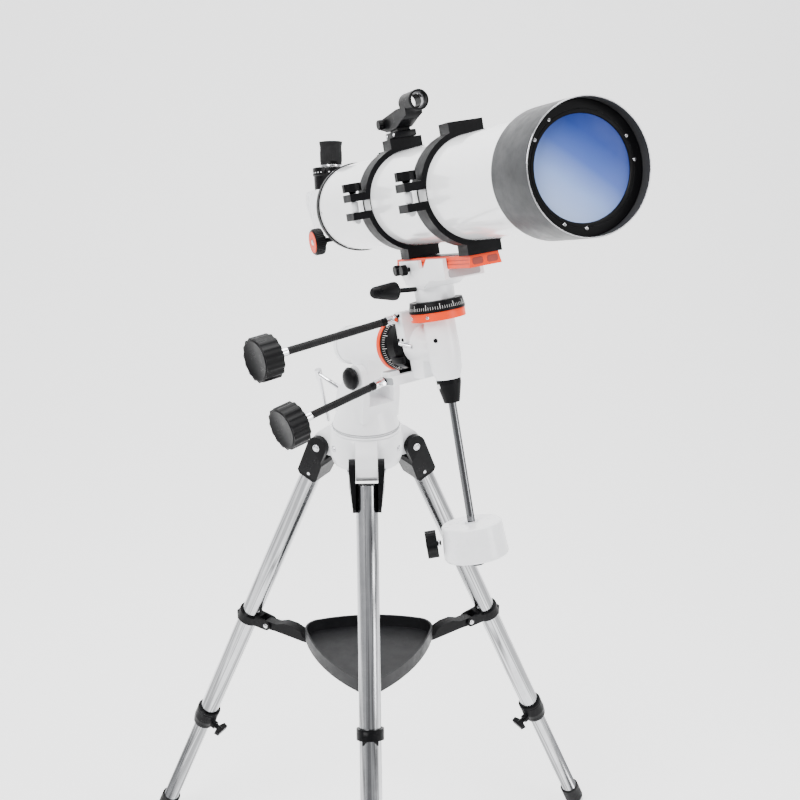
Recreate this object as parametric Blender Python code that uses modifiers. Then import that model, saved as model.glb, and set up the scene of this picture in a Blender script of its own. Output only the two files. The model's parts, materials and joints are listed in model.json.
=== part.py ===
"""A refractor telescope on a German equatorial mount and a three-legged tripod.

Every length below is in millimetres and every angle in degrees; the functions
that make or place a shape turn them into Blender's metres and radians.
"""

import math

import bmesh
import bpy
from mathutils import Matrix, Vector

MM = 0.001
GAP = 0.3
NAME = "telescope_on_tripod"

# Where the tripod's own axis stands, so that the origin is the bottom centre of the whole object.
AXIS_X = 0.0
AXIS_Y = 144.7

# Tripod: the frame's zero height is the plane of the three leg hinges.
LEG_AZIMUTHS = {"front": -90.0, "right": 30.0, "left": 150.0}
LEG_TILT = 24.5
HINGE_RADIUS = 81.0
LEG_LENGTH = 1000.0
FOOT_RADIUS = 16.5
UPPER_TUBE_RADIUS = 17.8
LOWER_TUBE_RADIUS = 14.5
TUBE_WALL = 1.6
UPPER_TUBE_TOP = 24.0
COLLAR_AT = 700.0
CLAMP_AT = 418.0
LUG_HALF_WIDTH = 17.7
EAR_INSIDE = 18.2
EAR_OUTSIDE = 29.0
EAR_RADIUS = 17.0
CLEVIS_LENGTH = 67.0
HUB_TOP = 46.0
HUB_BOTTOM = -14.0
BRACE_PIVOT_IN = 42.0
BRACE_PIVOT_DROP = 8.0
BRACE_LENGTH = 170.0
TRAY_RIM = -366.0
TRAY_DEPTH = 25.0
TRAY_CORNER = 128.0
TRAY_SIDE = 92.0
TRAY_CORNER_ROUND = 30.0
TRAY_WALL = 2.5
SPREADER_RADIUS = 18.0

# Mount head: azimuth about the tripod's axis, latitude about a pin, then the polar and the declination axes.
POLAR_AZIMUTH = -55.1
LATITUDE = 15.5
POLAR_HEIGHT = 188.0
AXES_CROSS = 210.0
LATITUDE_PIN_X = 24.0
LATITUDE_PIN_Z = 146.0
DECLINATION_TURN = -13.9
TUBE_AXIS_HEIGHT = 219.0
POLAR_RADIUS = 31.0
POLAR_BACK = -246.0
POLAR_FRONT = -115.5
SHAFT_RADIUS = 12.0
BORE_RADIUS = 12.3
CIRCLE_RADIUS = 42.0
CHEEK_INSIDE = 24.0
CHEEK_OUTSIDE = 36.0

# Counterweight, measured down the declination axis from where it crosses the polar axis.
BAR_RADIUS = 6.0
BAR_END = -337.0
WEIGHT_TOP = -276.5
WEIGHT_BOTTOM = -329.5
WEIGHT_RADIUS = 50.0

# Optical tube, measured along its axis from the declination axis, +X towards the sky.
TUBE_RADIUS = 70.0
TUBE_BACK = -262.0
TUBE_FRONT = 425.0
SHIELD_RADIUS = 78.9
SHIELD_BACK = 410.0
SHIELD_FRONT = 502.0
SHIELD_WALL = 1.6
LENS_RIM = 484.5
APERTURE_RADIUS = 60.0
RING_PLACES = {"front": 181.5, "rear": -31.0}
RING_HALF_WIDTH = 16.0
RING_INSIDE = 70.4
RING_OUTSIDE = 78.0
RING_FLAT = 88.0
RING_OPENING = 8.0
PLATFORM_HALF = 25.0
BAR_TOP = -88.3
BAR_BOTTOM = -104.5
BAR_FRONT = 193.0
BAR_BACK = -75.0
BAR_HALF = 24.0
FOCUS_SHAFT_X = -333.0
FOCUS_SHAFT_Z = -46.0
EYEPIECE_X = -403.0
DIAGONAL_TURN = -9.0

COLOURS = {
    "white_paint": ((0.86, 0.87, 0.88), 0.35, 0.0),
    "black_paint": ((0.03, 0.03, 0.032), 0.45, 0.0),
    "black_plastic": ((0.025, 0.025, 0.027), 0.55, 0.0),
    "dark_gloss": ((0.07, 0.072, 0.075), 0.22, 0.3),
    "orange_anodised": ((0.80, 0.16, 0.05), 0.35, 0.4),
    "polished_steel": ((0.62, 0.63, 0.64), 0.16, 1.0),
    "chrome": ((0.75, 0.75, 0.76), 0.10, 1.0),
    "tray_plastic": ((0.07, 0.07, 0.075), 0.5, 0.0),
    "coated_glass": ((0.25, 0.36, 0.62), 0.05, 0.0),
    "rubber": ((0.02, 0.02, 0.02), 0.8, 0.0),
}


def clear_scene():
    for obj in list(bpy.data.objects):
        bpy.data.objects.remove(obj, do_unlink=True)


def new_collection(name):
    made = bpy.data.collections.new(name)
    bpy.context.scene.collection.children.link(made)
    return made


def new_material(name, colour, roughness, metallic):
    made = bpy.data.materials.new(name)
    made.use_nodes = True
    shader = made.node_tree.nodes["Principled BSDF"]
    shader.inputs["Base Color"].default_value = (*colour, 1.0)
    shader.inputs["Roughness"].default_value = roughness
    shader.inputs["Metallic"].default_value = metallic
    return made


clear_scene()
PARTS = new_collection(NAME)
CUTTERS = new_collection("cutters")


# ---------------------------------------------------------------- placing


def at(x=0.0, y=0.0, z=0.0):
    return Matrix.Translation(Vector((x, y, z)) * MM)


def turn(angle, axis):
    return Matrix.Rotation(math.radians(angle), 4, axis)


def aim(direction):
    """A rotation that points local Z along direction."""
    return Vector(direction).to_track_quat("Z", "Y").to_matrix().to_4x4()


X_AXIS = aim((1, 0, 0))
Y_DOWN = aim((0, -1, 0))


def frame(name, parent, matrix):
    """An empty that holds a joint axis or a group."""
    made = bpy.data.objects.new(name, None)
    made.empty_display_size = 0.03
    PARTS.objects.link(made)
    made.parent = parent
    made.matrix_local = matrix
    return made


def add(name, mesh, parent, matrix, material, collection=None):
    """A named object of this mesh, placed in its parent's frame."""
    made = bpy.data.objects.new(name, mesh)
    (collection or PARTS).objects.link(made)
    made.parent = parent
    made.matrix_local = matrix
    if material:
        colour, roughness, metallic = COLOURS[material]
        mesh.materials.append(new_material(name + "_" + material, colour, roughness, metallic))
    return made


def helper(obj):
    """Hides a shape that only cuts or joins another one."""
    obj.hide_render = True
    obj.display_type = "WIRE"
    for holder in list(obj.users_collection):
        holder.objects.unlink(obj)
    CUTTERS.objects.link(obj)
    return obj


def combine(obj, operation, others):
    for index, other in enumerate(others):
        helper(other)
        modifier = obj.modifiers.new(f"{operation.lower()}_{index}", "BOOLEAN")
        modifier.operation = operation
        modifier.solver = "EXACT"
        modifier.object = other
    return obj


def fuse(obj, *others):
    return combine(obj, "UNION", others)


def cut(obj, *others):
    return combine(obj, "DIFFERENCE", others)


# ---------------------------------------------------------------- shapes


def turned(name, profile, parent, matrix, material=None, steps=28, hollow=False):
    """Turns (radius, height) points about local Z. They run down the outer side, and back up inside if hollow."""
    mesh = bpy.data.meshes.new(name)
    points = [(radius * MM, 0.0, height * MM) for radius, height in profile]
    edges = [(index, index + 1) for index in range(len(points) - 1)]
    if hollow:
        edges.append((len(points) - 1, 0))
    mesh.from_pydata(points, edges, [])
    made = add(name, mesh, parent, matrix, material)
    screw = made.modifiers.new("screw", "SCREW")
    screw.steps = steps
    screw.render_steps = steps
    screw.use_merge_vertices = True
    screw.merge_threshold = 0.00001
    screw.use_smooth_shade = True
    return made


def tube(name, outer, inner, low, high, parent, matrix, material=None, steps=28):
    profile = [(outer, high), (outer, low), (inner, low), (inner, high)]
    return turned(name, profile, parent, matrix, material, steps, hollow=True)


def rod(name, radius, low, high, parent, matrix, material=None, steps=20):
    profile = [(0, high), (radius, high), (radius, low), (0, low)]
    return turned(name, profile, parent, matrix, material, steps)


def block(name, low, high, parent, material=None, bevel=0.0, matrix=None):
    """A box between two corners of its parent's frame."""
    mesh = bpy.data.meshes.new(name)
    shape = bmesh.new()
    bmesh.ops.create_cube(shape, size=1.0)
    size = [(b - a) * MM for a, b in zip(low, high)]
    middle = [(a + b) / 2 for a, b in zip(low, high)]
    bmesh.ops.scale(shape, vec=size, verts=shape.verts)
    shape.to_mesh(mesh)
    shape.free()
    made = add(name, mesh, parent, (matrix or Matrix()) @ at(*middle), material)
    if bevel:
        rounding = made.modifiers.new("bevel", "BEVEL")
        rounding.width = bevel * MM
        rounding.segments = 2
    return made


def plate(name, outline, half, parent, matrix, material=None):
    """A flat outline in local X and Y, extruded by half each way along local Z, made a mesh."""
    data = bpy.data.curves.new(name, "CURVE")
    data.dimensions = "2D"
    data.fill_mode = "BOTH"
    data.extrude = half * MM
    line = data.splines.new("POLY")
    line.points.add(len(outline) - 1)
    for point, (x, y) in zip(line.points, outline):
        point.co = (x * MM, y * MM, 0.0, 1.0)
    line.use_cyclic_u = True
    flat = bpy.data.objects.new(name + "_outline", data)
    PARTS.objects.link(flat)
    graph = bpy.context.evaluated_depsgraph_get()
    mesh = bpy.data.meshes.new_from_object(flat.evaluated_get(graph))
    bpy.data.objects.remove(flat, do_unlink=True)
    shape = bmesh.new()
    shape.from_mesh(mesh)
    bmesh.ops.remove_doubles(shape, verts=shape.verts, dist=0.00001)
    bmesh.ops.recalc_face_normals(shape, faces=shape.faces)
    shape.to_mesh(mesh)
    shape.free()
    mesh.name = name
    return add(name, mesh, parent, matrix, material)


def arc(x, y, radius, start, end, count):
    """Points on a circle, from one angle to another."""
    points = []
    for index in range(count):
        angle = math.radians(start + (end - start) * index / (count - 1))
        points.append((x + radius * math.cos(angle), y + radius * math.sin(angle)))
    return points


def lobes(radius, depth, count, per_lobe):
    """The outline of a grip with rounded lobes."""
    points = []
    for index in range(count * per_lobe):
        angle = 2 * math.pi * index / (count * per_lobe)
        reach = radius - depth * (0.5 - 0.5 * math.cos(count * angle))
        points.append((reach * math.cos(angle), reach * math.sin(angle)))
    return points


# ---------------------------------------------------------------- tripod

# An outline drawn in X and Z stands up when its local Y becomes Z.
UPRIGHT = turn(90, "X")


def make_hub(root):
    profile = [(0, HUB_TOP), (50, HUB_TOP), (58, HUB_TOP - 5), (62, 26), (61, 0), (56, HUB_BOTTOM), (0, HUB_BOTTOM)]
    hub = turned("tripod_hub", profile, root, Matrix(), "white_paint", steps=36)
    side = [(30, 43), (64, 40), (86, 23), (96, 10), (97, -4), (90, -13.5), (30, -13.5)]
    lugs = []
    for leg, azimuth in LEG_AZIMUTHS.items():
        lugs.append(plate("hub_lug_" + leg, side, LUG_HALF_WIDTH, root, turn(azimuth, "Z") @ UPRIGHT))
    fuse(hub, *lugs)


def make_clevis(leg, hinge):
    """Two ears about the hub's lug, on a channel that holds the top of the leg's tube."""
    side = arc(0, 2, EAR_RADIUS + 1, 180, 0, 9)
    side += [(EAR_RADIUS + 1, -CLEVIS_LENGTH + 5), (12, -CLEVIS_LENGTH), (-17, -CLEVIS_LENGTH)]
    side += [(-22, -CLEVIS_LENGTH + 6), (-22, -26), (-EAR_RADIUS - 1, -20)]
    clevis = plate("leg_clevis_" + leg, side, EAR_OUTSIDE, hinge, UPRIGHT, "black_plastic")
    for vertex in clevis.data.vertices:
        if vertex.co.y < -0.055:
            vertex.co.z *= 0.8
    bore = rod("clevis_bore_" + leg, UPPER_TUBE_RADIUS + GAP, -120, -UPPER_TUBE_TOP + 3, hinge, Matrix())
    face = block("clevis_face_" + leg, (0, -EAR_INSIDE + 0.1, -120), (40, EAR_INSIDE - 0.1, -19), hinge)
    slot = block("clevis_slot_" + leg, (-40, -EAR_INSIDE, -20), (40, EAR_INSIDE, 40), hinge)
    cut(clevis, bore, face, slot)


def make_leg_tube(leg, hinge):
    low = -COLLAR_AT - 5
    inner = UPPER_TUBE_RADIUS - TUBE_WALL
    tube("leg_tube_" + leg, UPPER_TUBE_RADIUS, inner, low, -UPPER_TUBE_TOP, hinge, Matrix(), "polished_steel", 24)


def make_collar(leg, hinge):
    """The clamp at the bottom of the upper tube, with a boss for its knob on the inner side."""
    top = -COLLAR_AT + 20
    step = -COLLAR_AT - 5 - GAP
    bottom = -COLLAR_AT - 22
    profile = [(21.5, top), (22.5, step), (20, bottom), (LOWER_TUBE_RADIUS + GAP, bottom)]
    profile += [(LOWER_TUBE_RADIUS + GAP, step), (UPPER_TUBE_RADIUS + GAP, step), (UPPER_TUBE_RADIUS + GAP, top)]
    collar = turned("leg_collar_" + leg, profile, hinge, Matrix(), "black_plastic", 24, hollow=True)
    boss = rod("collar_boss_" + leg, 8, 18.2, 28, hinge, at(0, 0, -COLLAR_AT - 12) @ aim((-1, 0, 0)), steps=12)
    fuse(collar, boss)


def make_lock_knob(leg, hinge):
    """A winged screw that tightens the leg's collar."""
    place = at(-28 - GAP, 0, -COLLAR_AT - 12) @ aim((-1, 0, 0))
    axis = frame("leg_lock_" + leg, hinge, place)
    stem = turned("leg_lock_knob_" + leg, [(0, 12), (5, 12), (5, 0), (0, 0)], axis, Matrix(), "black_plastic", 12)
    wing = [(-16, 8), (-14, 17), (14, 17), (16, 8), (5, 5), (-5, 5)]
    fuse(stem, plate("lock_wing_" + leg, wing, 4, axis, UPRIGHT))


def make_brace_clamp(leg, hinge):
    """A band about the leg's tube with two ears for the brace's pin."""
    level = at(0, 0, -CLAMP_AT) @ turn(LEG_TILT, "Y")
    reach = BRACE_PIVOT_IN
    side = arc(-reach, -BRACE_PIVOT_DROP, 9, 110, 270, 7) + [(0, -13), (20, -9), (20, 9), (0, 9)]
    clamp = plate("brace_clamp_" + leg, side, 13, hinge, level @ UPRIGHT, "black_plastic")
    band = rod("clamp_band_" + leg, UPPER_TUBE_RADIUS + 4.5, -9, 9, hinge, at(0, 0, -CLAMP_AT), steps=24)
    bore = rod("clamp_bore_" + leg, UPPER_TUBE_RADIUS + GAP, -60, 60, hinge, at(0, 0, -CLAMP_AT), steps=24)
    slot = block("clamp_slot_" + leg, (-70, -9.3, -30), (-27, 9.3, 30), hinge, matrix=level)
    fuse(clamp, band)
    cut(clamp, bore, slot)


def make_lower_leg(leg, hinge):
    slide = frame("leg_slide_" + leg, hinge, at(0, 0, -COLLAR_AT))
    top = 150
    end = COLLAR_AT - LEG_LENGTH
    inner = LOWER_TUBE_RADIUS - TUBE_WALL
    profile = [(LOWER_TUBE_RADIUS, top), (LOWER_TUBE_RADIUS, end + 45), (18, end + 43), (18, end + 8)]
    profile += arc(0, end, FOOT_RADIUS, 0, -90, 6)
    profile += [(0, end + 30), (inner, end + 30), (inner, top)]
    turned("leg_lower_" + leg, profile, slide, Matrix(), "polished_steel", 24, hollow=True)


def make_brace(leg, hinge):
    """The arm from the leg's clamp to the spreader under the tray."""
    place = at(0, 0, -CLAMP_AT) @ turn(LEG_TILT, "Y") @ at(-BRACE_PIVOT_IN, 0, -BRACE_PIVOT_DROP) @ turn(180, "Z")
    axis = frame("brace_pin_" + leg, hinge, place)
    side = arc(0, 0, 8, 270, 90, 7) + [(22, 7), (38, 13), (58, 12), (74, 6), (78, -4)]
    side += [(BRACE_LENGTH, -4), (BRACE_LENGTH, -13), (78, -13), (20, -8)]
    plate("brace_arm_" + leg, side[::-1], 9, axis, UPRIGHT, "black_plastic")


def tray_outline():
    """A triangle with round corners and slightly bowed sides, its first corner along -Y."""
    corner = TRAY_CORNER - TRAY_CORNER_ROUND
    across = corner * math.sin(math.radians(60))
    along = corner * math.cos(math.radians(60))
    spread = along - TRAY_SIDE
    side_radius = (across**2 + spread**2 - TRAY_CORNER_ROUND**2) / (-2 * (spread + TRAY_CORNER_ROUND))
    half = math.degrees(math.asin(across / (side_radius - TRAY_CORNER_ROUND)))
    points = []
    for azimuth in (-90, 30, 150):
        middle = Vector((math.cos(math.radians(azimuth)), math.sin(math.radians(azimuth)))) * corner
        points += arc(middle.x, middle.y, TRAY_CORNER_ROUND, azimuth - 60 + half, azimuth + 60 - half, 9)
        normal = azimuth + 60
        back = TRAY_SIDE - side_radius
        centre = Vector((math.cos(math.radians(normal)), math.sin(math.radians(normal)))) * back
        points += arc(centre.x, centre.y, side_radius, normal - half, normal + half, 9)[1:-1]
    return points


def make_tray(root):
    """An open dish on the boss where the three braces meet."""
    slide = frame("tray_slide", root, at(0, 0, TRAY_RIM))
    outline = tray_outline()
    tray = plate("accessory_tray", outline, TRAY_DEPTH / 2, slide, at(0, 0, -TRAY_DEPTH / 2), "tray_plastic")
    shrink = 1 - TRAY_WALL / TRAY_SIDE
    inside = [(x * shrink, y * shrink) for x, y in outline]
    hollow = plate("tray_hollow", inside, TRAY_DEPTH / 2, slide, at(0, 0, -TRAY_DEPTH / 2 + TRAY_WALL))
    boss = rod("spreader_boss", SPREADER_RADIUS, -38, -TRAY_DEPTH + 1, slide, Matrix())
    cut(tray, hollow)
    fuse(tray, boss)


def make_tripod(root):
    make_hub(root)
    for leg, azimuth in LEG_AZIMUTHS.items():
        place = turn(azimuth, "Z") @ at(HINGE_RADIUS) @ turn(-LEG_TILT, "Y")
        hinge = frame("leg_fold_" + leg, root, place)
        make_clevis(leg, hinge)
        make_leg_tube(leg, hinge)
        make_collar(leg, hinge)
        make_lock_knob(leg, hinge)
        make_brace_clamp(leg, hinge)
        make_lower_leg(leg, hinge)
        make_brace(leg, hinge)
    make_tray(root)


# ---------------------------------------------------------------- mount head


def make_azimuth_base(azimuth):
    """A skirt that turns on the hub, with two cheeks for the latitude pin."""
    low = HUB_TOP + GAP
    profile = [(0, 98), (36, 98), (44, 82), (52, 64), (56, low + 3), (54, low), (0, low)]
    base = turned("azimuth_base", profile, azimuth, Matrix(), "white_paint", steps=36)
    side = arc(LATITUDE_PIN_X, LATITUDE_PIN_Z, 20, 175, -5, 9) + [(46, 110), (42, 70), (-38, 70), (-30, 110)]
    cheeks = plate("cheeks", side, CHEEK_OUTSIDE, azimuth, UPRIGHT)
    boss = block("bolt_boss", (-66, -11, 70), (-30, 11, 104), azimuth, bevel=3)
    slot = block("cheek_slot", (-29, -CHEEK_INSIDE, 98), (80, CHEEK_INSIDE, 200), azimuth)
    fuse(base, cheeks, boss)
    cut(base, slot)


def make_latitude_knob(azimuth):
    axis = frame("latitude_knob_axis", azimuth, at(LATITUDE_PIN_X, -CHEEK_OUTSIDE - GAP, LATITUDE_PIN_Z) @ Y_DOWN)
    profile = [(0, 18), (9, 17.5), (16, 14.5), (19, 10), (18, 6), (8, 4), (8, 0), (0, 0)]
    turned("latitude_knob", profile, axis, Matrix(), "black_plastic")


def make_latitude_bolt(azimuth):
    """The screw that tips the polar axis, with a bar handle through its head."""
    axis = frame("latitude_bolt_axis", azimuth, at(-67, 0, 89) @ aim((-73, 0, 7.5)))
    bolt = rod("latitude_bolt", 4, 0, 74, axis, Matrix(), "chrome", steps=12)
    across = at(-139.5, 0, 96.6) @ aim((0, 18, -95.6))
    head = rod("bolt_head", 6, -9, 8, azimuth, across, steps=14)
    handle = rod("bolt_handle", 3.2, 0, 92, azimuth, across, steps=12)
    fuse(bolt, head, handle)


def make_polar_housing(polar, pin):
    """The barrel about the polar shaft, with a lug between the cheeks."""
    barrel = [(POLAR_RADIUS, POLAR_FRONT), (POLAR_RADIUS, POLAR_BACK), (BORE_RADIUS, POLAR_BACK)]
    barrel += [(BORE_RADIUS, POLAR_FRONT)]
    housing = turned("polar_housing", barrel, polar, X_AXIS, "white_paint", 32, hollow=True)
    side = arc(pin.x, pin.y, 19, 200, 340, 9) + [(pin.x + 24, -16), (pin.x - 24, -16)]
    lug = plate("polar_lug", side, CHEEK_INSIDE - GAP, polar, UPRIGHT)
    bore = rod("polar_bore", BORE_RADIUS, POLAR_BACK - 20, POLAR_FRONT + 20, polar, X_AXIS)
    fuse(housing, lug)
    cut(housing, bore)
    cap = [(0, POLAR_BACK - GAP), (POLAR_RADIUS + 1.2, POLAR_BACK - GAP), (POLAR_RADIUS + 1.2, POLAR_BACK - 9)]
    cap += [(POLAR_RADIUS - 3, POLAR_BACK - 13), (0, POLAR_BACK - 13)]
    turned("polar_cap", cap, polar, X_AXIS, "white_paint", 32)


def make_right_ascension(polar):
    """The ring that stays with the barrel, and the graduated circle that slips round the shaft."""
    back = POLAR_FRONT + GAP
    tube("ra_ring", CIRCLE_RADIUS, BORE_RADIUS, back, back + 8.5, polar, X_AXIS, "orange_anodised", 40)
    start = back + 8.5 + GAP
    profile = [(36.5, start + 14.2), (CIRCLE_RADIUS - 1, start + 4), (CIRCLE_RADIUS - 1, start)]
    profile += [(BORE_RADIUS, start), (BORE_RADIUS, start + 14.2)]
    turned("ra_circle", profile, polar, X_AXIS, "black_plastic", 40, hollow=True)


def make_ra_clamp(ra):
    """A C-shaped clamp round the neck, with a tab to turn it by."""
    profile = [(31, -62), (37, -76), (38, -91.9), (27.4, -91.9), (27.4, -62)]
    clamp = turned("ra_clamp", profile, ra, X_AXIS, "black_plastic", 32, hollow=True)
    mouth = block("clamp_mouth", (-110, 4, -16), (-50, 60, 24), ra)
    tab = block("clamp_tab", (-82, -40, -24), (-55, -33, -14), ra, bevel=1.5)
    fuse(clamp, tab)
    cut(clamp, mouth)


def make_dec_housing(ra):
    """The arm on the polar shaft and the barrel about the declination shaft, with both worm boxes."""
    profile = [(0, 37.7), (23.5, 37.7), (24, 20), (25, -15), (23, -40), (18.5, -52), (18.5, -53), (0, -53)]
    housing = turned("dec_housing", profile, ra, Matrix(), "white_paint", 28)
    neck = [(0, -8), (24, -8), (30, -34), (30, -61.7), (27, -61.7), (27, -91.9), (SHAFT_RADIUS, -91.9)]
    neck += [(SHAFT_RADIUS, -236), (0, -236)]
    arm = turned("ra_arm", neck, ra, X_AXIS, steps=28)
    dec_box = block("dec_worm_box", (-61.5, -38, 8), (-42.6, 22, 55), ra, bevel=3)
    ra_box = block("ra_worm_box", (-88, -60, -54), (-56, 20, -38.7), ra, bevel=2)
    ra_end = block("ra_worm_end", (-88, -60, -54), (-68, -38, -33), ra, bevel=2)
    bridge = block("worm_bridge", (-61.7, -22, -50), (-30, 16, -12), ra, bevel=3)
    bore = rod("dec_bore", BORE_RADIUS, -21, 45, ra, Matrix())
    fuse(housing, arm, dec_box, ra_box, ra_end, bridge)
    cut(housing, bore)


def make_dec_circles(ra):
    tube("dec_ring", CIRCLE_RADIUS - 1, BORE_RADIUS, 38, 50.5, ra, Matrix(), "orange_anodised", 40)
    profile = [(39.5, 66.5), (CIRCLE_RADIUS, 54), (CIRCLE_RADIUS, 50.8), (BORE_RADIUS, 50.8), (BORE_RADIUS, 66.5)]
    turned("dec_circle", profile, ra, Matrix(), "black_plastic", 40, hollow=True)


def make_control(name, ra, start, direction, reach):
    """A flexible slow-motion cable with its coupling and grip; it turns about its own length."""
    axis = frame(name + "_axis", ra, at(*start) @ aim(direction))
    profile = [(0, reach), (9, reach), (9, reach - 13), (5.3, reach - 13), (5.3, 26), (6.2, 26), (6.2, 0), (0, 0)]
    control = turned(name, profile, axis, Matrix(), "black_plastic", 14)
    grip = plate(name + "_grip", lobes(33, 2.2, 15, 4), 14.5, axis, at(0, 0, reach + 14))
    fuse(control, grip)


def make_saddle(dec):
    """The declination shaft and its neck, under a cradle whose jaws hold the dovetail bar."""
    low = TUBE_AXIS_HEIGHT + BAR_BOTTOM
    base = CIRCLE_RADIUS + 24.8
    profile = [(0, low - 1), (32, low - 1), (30, 92), (29.5, base), (SHAFT_RADIUS, base)]
    profile += [(SHAFT_RADIUS, -20), (0, -20)]
    saddle = turned("saddle", profile, dec, Matrix(), "white_paint", 32)
    side = [(119, low + 15), (60, low + 15), (44, low + 3), (29, low + 3), (27, low + 14), (-46, low + 14)]
    side += [(-46, low - 4), (-32, low - 22), (30, low - 28), (60, low - 16), (119, low - 15)]
    cradle = plate("saddle_cradle", side[::-1], 30, dec, UPRIGHT)
    half = BAR_HALF + GAP
    channel = block("saddle_channel", (-80, -half, low - GAP), (200, half, low + 40), dec)
    fuse(saddle, cradle)
    cut(saddle, channel)


def make_dec_lock(dec):
    turned_by = math.radians(DECLINATION_TURN)
    direction = Vector((-math.sin(turned_by), -math.cos(turned_by), 0.1))
    axis = frame("dec_lock_axis", dec, at(0, 0, 84) @ aim(direction) @ at(0, 0, 33))
    profile = [(0, 78), (6, 77.5), (8.5, 74), (13.5, 42), (13.5, 37), (10, 34), (3.6, 34), (3.6, 0), (0, 0)]
    turned("dec_lock", profile, axis, Matrix(), "black_plastic", 16)


def make_counterweight(ra):
    collar = [(0, -53.3), (18.5, -53.3), (18.5, -60), (12, -89), (BAR_RADIUS + GAP, -89), (BAR_RADIUS + GAP, -70)]
    collar += [(0, -70)]
    turned("weight_bar_collar", collar, ra, Matrix(), "black_plastic", 28)
    bar = [(0, -70 - GAP), (BAR_RADIUS, -70 - GAP), (BAR_RADIUS, BAR_END), (9, BAR_END), (9, BAR_END - 6)]
    bar += [(0, BAR_END - 6)]
    turned("weight_bar", bar, ra, Matrix(), "chrome", 20)
    slide = frame("weight_slide", ra, at(0, 0, WEIGHT_TOP))
    height = WEIGHT_TOP - WEIGHT_BOTTOM
    weight = [(WEIGHT_RADIUS - 5, 0), (WEIGHT_RADIUS - 3.5, -2), (WEIGHT_RADIUS, -height + 3)]
    weight += [(WEIGHT_RADIUS - 2, -height), (BAR_RADIUS + GAP, -height), (BAR_RADIUS + GAP, 0)]
    turned("counterweight", weight, slide, Matrix(), "white_paint", 36, hollow=True)
    outward = Vector((-0.572, -0.82, 0))
    axis = frame("weight_knob_axis", slide, at(0, 0, -24) @ aim(outward) @ at(0, 0, WEIGHT_RADIUS + GAP))
    stem = rod("weight_knob", 4, 0, 14, axis, Matrix(), "black_plastic", steps=12)
    fuse(stem, plate("weight_knob_grip", lobes(21.7, 2.4, 6, 6), 8.5, axis, at(0, 0, 14.5)))


def make_mount(root):
    azimuth = frame("azimuth_axis", root, turn(POLAR_AZIMUTH, "Z"))
    make_azimuth_base(azimuth)
    make_latitude_knob(azimuth)
    make_latitude_bolt(azimuth)
    tilt = turn(-LATITUDE, "Y")
    pin_place = at(LATITUDE_PIN_X, 0, LATITUDE_PIN_Z) @ tilt
    rise = math.radians(LATITUDE)
    cross = at(AXES_CROSS * math.cos(rise), 0, POLAR_HEIGHT + AXES_CROSS * math.sin(rise)) @ tilt
    latitude = frame("latitude_axis", azimuth, pin_place)
    polar = frame("polar_axis", latitude, pin_place.inverted() @ cross)
    seen = cross.inverted() @ pin_place.translation
    make_polar_housing(polar, Vector((seen.x / MM, seen.z / MM)))
    make_right_ascension(polar)
    ra = frame("ra_axis", polar, Matrix())
    make_ra_clamp(ra)
    make_dec_housing(ra)
    make_dec_circles(ra)
    make_control("ra_control", ra, (-78, -62, -45), (0, -0.9867, -0.1626), 163)
    make_control("dec_control", ra, (-54, -38.8, 46), (0, -0.9984, -0.0565), 219)
    make_counterweight(ra)
    dec = frame("dec_axis", ra, turn(DECLINATION_TURN, "Z"))
    make_saddle(dec)
    make_dec_lock(dec)
    return dec


# ---------------------------------------------------------------- optical tube


def make_ring_half(name, bar, place, upper):
    """Half a tube ring with a flat platform, a clamp lug on -Y and a hinge knuckle on +Y."""
    sign = 1 if upper else -1
    turned_name = f"ring_{name}_{'upper' if upper else 'lower'}"
    low, high = place - RING_HALF_WIDTH, place + RING_HALF_WIDTH
    ring = tube(turned_name, RING_OUTSIDE, RING_INSIDE, low, high, bar, X_AXIS, "black_paint", 48)

    def part(label, y_low, y_high, z_near, z_far, bevel=0.0):
        z_low, z_high = sorted((sign * z_near, sign * z_far))
        return block(f"{turned_name}_{label}", (low, y_low, z_low), (high, y_high, z_high), bar, bevel=bevel)

    platform = part("platform", -PLATFORM_HALF, PLATFORM_HALF, 72, RING_FLAT)
    lug = part("lug", -100, -71, RING_OPENING, RING_OPENING + 11)
    knuckle = part("knuckle", 71, 88, 0.4, 11)
    other_side = block(turned_name + "_gap", (low - 9, -120, -200 * sign), (high + 9, 0, RING_OPENING * sign), bar)
    other_back = block(turned_name + "_split", (low - 9, -1, -200 * sign), (high + 9, 120, 0.4 * sign), bar)
    bore = rod(turned_name + "_bore", RING_INSIDE, low - 9, high + 9, bar, X_AXIS, steps=48)
    for cutter in (other_side, other_back):
        if not upper:
            cutter.data.flip_normals()
    fuse(ring, platform, lug, knuckle)
    cut(ring, other_side, other_back, bore)
    if upper:
        cut(ring, rod(turned_name + "_hole", 3.4, 0, 30, bar, at(place, -90, 0), steps=12))


def make_ring_knob(name, bar, place):
    """The knurled nut and the swing bolt that close a tube ring."""
    axis = frame(f"ring_knob_{name}_axis", bar, at(place, -90, 0))
    top = RING_OPENING + 11 + GAP
    profile = [(0, top + 15), (6, top + 15), (6, top + 3), (5, top), (3, top), (3, -RING_OPENING + GAP)]
    profile += [(0, -RING_OPENING + GAP)]
    knob = turned(f"ring_knob_{name}", profile, axis, Matrix(), "black_plastic", 12)
    fuse(knob, plate(f"ring_knob_{name}_grip", lobes(14, 1.4, 10, 4), 6, axis, at(0, 0, top + 9)))


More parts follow.
